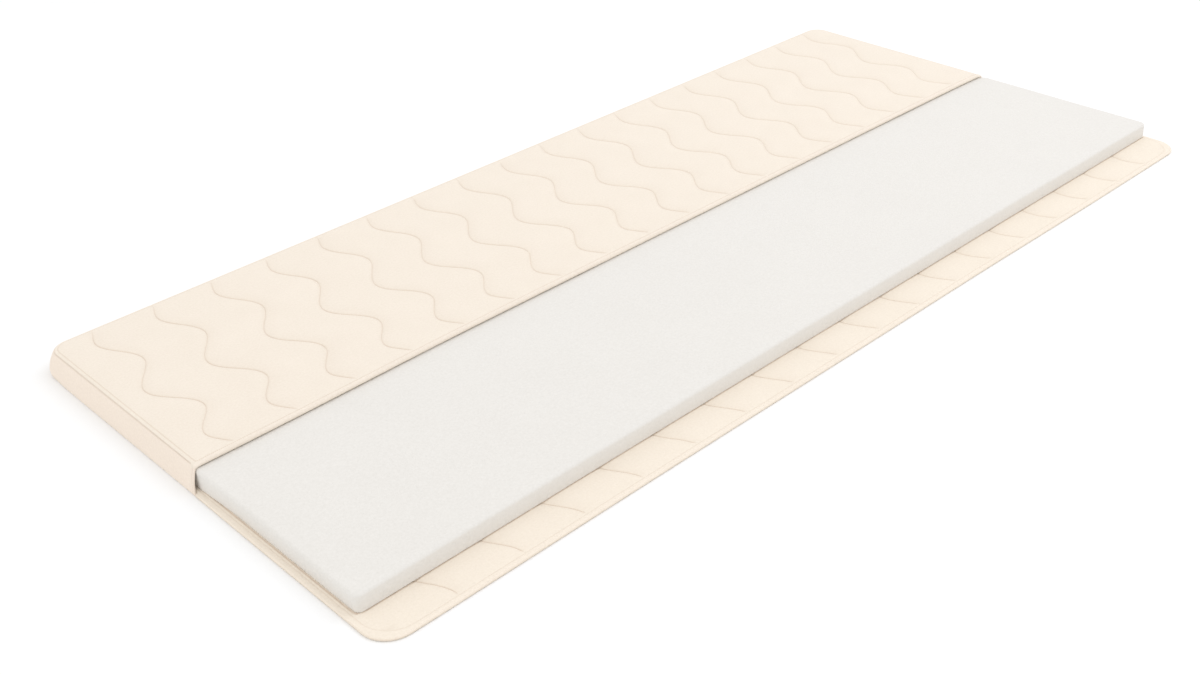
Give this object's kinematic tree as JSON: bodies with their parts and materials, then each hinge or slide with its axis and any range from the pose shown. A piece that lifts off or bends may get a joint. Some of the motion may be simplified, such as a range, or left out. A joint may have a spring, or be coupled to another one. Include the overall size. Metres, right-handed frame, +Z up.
{
  "type": "mattress topper",
  "caption": "Thin foam mattress topper lying flat, its quilted cover closed over the back half and laid open along the front.",
  "frame": {"origin": "centre of the bottom panel's footprint, on the surface the topper lies on", "axes": "+X along the length, -Y towards the laid-open front edge, +Z up"},
  "size_m": [2, 0.942, 0.044],
  "materials": {
    "quilted_cloth_bottom": "matt cream knit, quilted in even waves",
    "foam": "matt off-white soft foam with a very fine open grain",
    "border_cloth": "matt cream knit, plain",
    "quilted_cloth_top": "matt cream knit, quilted in slanted waves"
  },
  "bodies": {
    "root": {"bottom_panel": "quilted_cloth_bottom", "foam_core": "foam", "border_strip": "border_cloth", "top_panel": "quilted_cloth_top"}
  },
  "joints": []
}
